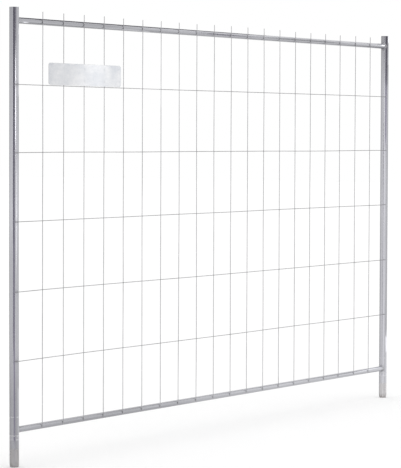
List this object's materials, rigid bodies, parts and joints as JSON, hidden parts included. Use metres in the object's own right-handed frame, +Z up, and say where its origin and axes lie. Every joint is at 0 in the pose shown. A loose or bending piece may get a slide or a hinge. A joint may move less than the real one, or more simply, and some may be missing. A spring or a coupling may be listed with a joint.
{
  "type": "temporary fence panel",
  "caption": "Welded tube frame fence panel with wire mesh infill and a blank name plate, for standing in separate base blocks.",
  "frame": {"origin": "midway between the two posts, on the plane of their axes, at the level of their feet", "axes": "+X along the panel towards the right post, +Z up, -Y out of the side that carries the mesh and the name plate"},
  "size_m": [3.5, 0.0451, 2],
  "materials": {
    "post_tube": "hot-dip galvanised, satin, cloudy zinc",
    "rail_tube": "hot-dip galvanised, satin, cloudy zinc",
    "mesh_wire": "galvanised drawn wire, dull",
    "weld_metal": "zinc over weld metal, rough",
    "plate_sheet": "light galvanised sheet, soft spangle"
  },
  "bodies": {
    "root": {"left_post": "post_tube", "right_post": "post_tube", "top_rail": "rail_tube", "bottom_rail": "rail_tube", "top_left_weld": "weld_metal", "top_right_weld": "weld_metal", "bottom_left_weld": "weld_metal", "bottom_right_weld": "weld_metal", "vertical_wire_01": "mesh_wire", "vertical_wire_02": "mesh_wire", "vertical_wire_03": "mesh_wire", "vertical_wire_04": "mesh_wire", "vertical_wire_05": "mesh_wire", "vertical_wire_06": "mesh_wire", "vertical_wire_07": "mesh_wire", "vertical_wire_08": "mesh_wire", "vertical_wire_09": "mesh_wire", "vertical_wire_10": "mesh_wire", "vertical_wire_11": "mesh_wire", "vertical_wire_12": "mesh_wire", "vertical_wire_13": "mesh_wire", "vertical_wire_14": "mesh_wire", "vertical_wire_15": "mesh_wire", "vertical_wire_16": "mesh_wire", "vertical_wire_17": "mesh_wire", "vertical_wire_18": "mesh_wire", "vertical_wire_19": "mesh_wire", "vertical_wire_20": "mesh_wire", "horizontal_wire_1": "mesh_wire", "horizontal_wire_2": "mesh_wire", "horizontal_wire_3": "mesh_wire", "horizontal_wire_4": "mesh_wire", "horizontal_wire_5": "mesh_wire", "wire_end_welds": "weld_metal", "name_plate": "plate_sheet", "plate_welds": "weld_metal"}
  },
  "joints": []
}
